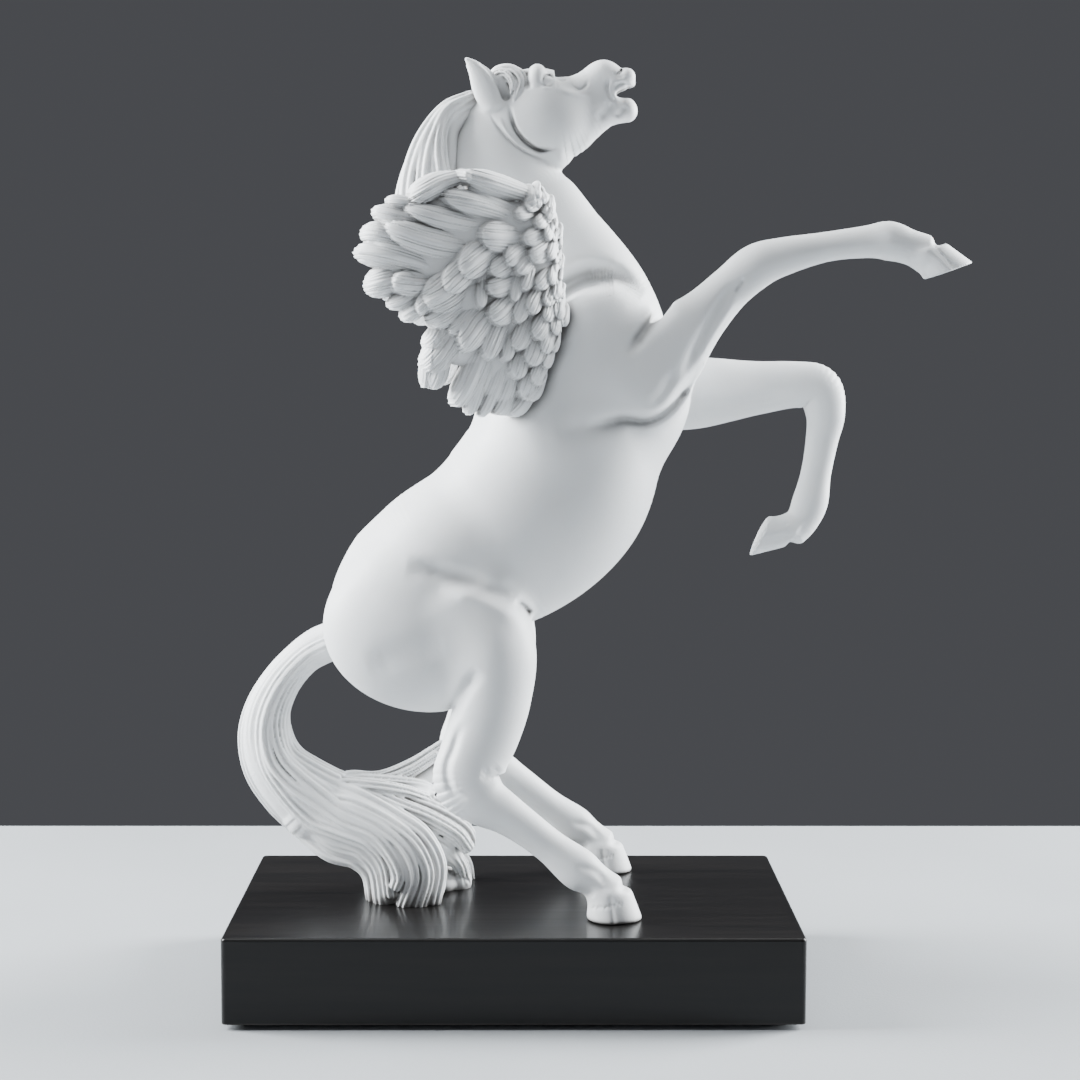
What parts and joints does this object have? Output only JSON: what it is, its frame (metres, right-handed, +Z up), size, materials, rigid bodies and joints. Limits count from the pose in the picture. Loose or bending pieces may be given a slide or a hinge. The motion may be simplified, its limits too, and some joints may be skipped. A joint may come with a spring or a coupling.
{
  "type": "horse statue",
  "caption": "Statuette of a rearing winged horse, cast in white marble composite, standing on its hind hooves and tail on a rectangular dark wooden plinth.",
  "frame": {"origin": "centre of the plinth's footprint, on the underside of the felt where the statuette rests", "axes": "+Z up, the horse faces +X, its right side is on -Y"},
  "size_m": [0.2594, 0.1256, 0.3335],
  "materials": {
    "cast_marble": "satin white marble composite",
    "stained_wood": "black stain under satin lacquer",
    "felt": "dark felt",
    "steel": "plain steel rod"
  },
  "bodies": {
    "root": {"plinth_block": "stained_wood", "felt_sheet": "felt", "torso_casting": "cast_marble", "head_and_neck_casting": "cast_marble", "mane_casting": "cast_marble", "tail_casting": "cast_marble", "right_foreleg_casting": "cast_marble", "left_foreleg_casting": "cast_marble", "right_hind_leg_casting": "cast_marble", "left_hind_leg_casting": "cast_marble", "right_wing_casting": "cast_marble", "left_wing_casting": "cast_marble", "neck_dowel": "steel", "right_foreleg_dowel": "steel", "left_foreleg_dowel": "steel", "hind_leg_dowels": "steel", "tail_dowel": "steel", "right_wing_pins": "steel", "left_wing_pins": "steel", "hoof_studs": "steel", "hoof_washers": "steel", "hoof_nuts": "steel", "tail_screw": "steel"}
  },
  "joints": []
}
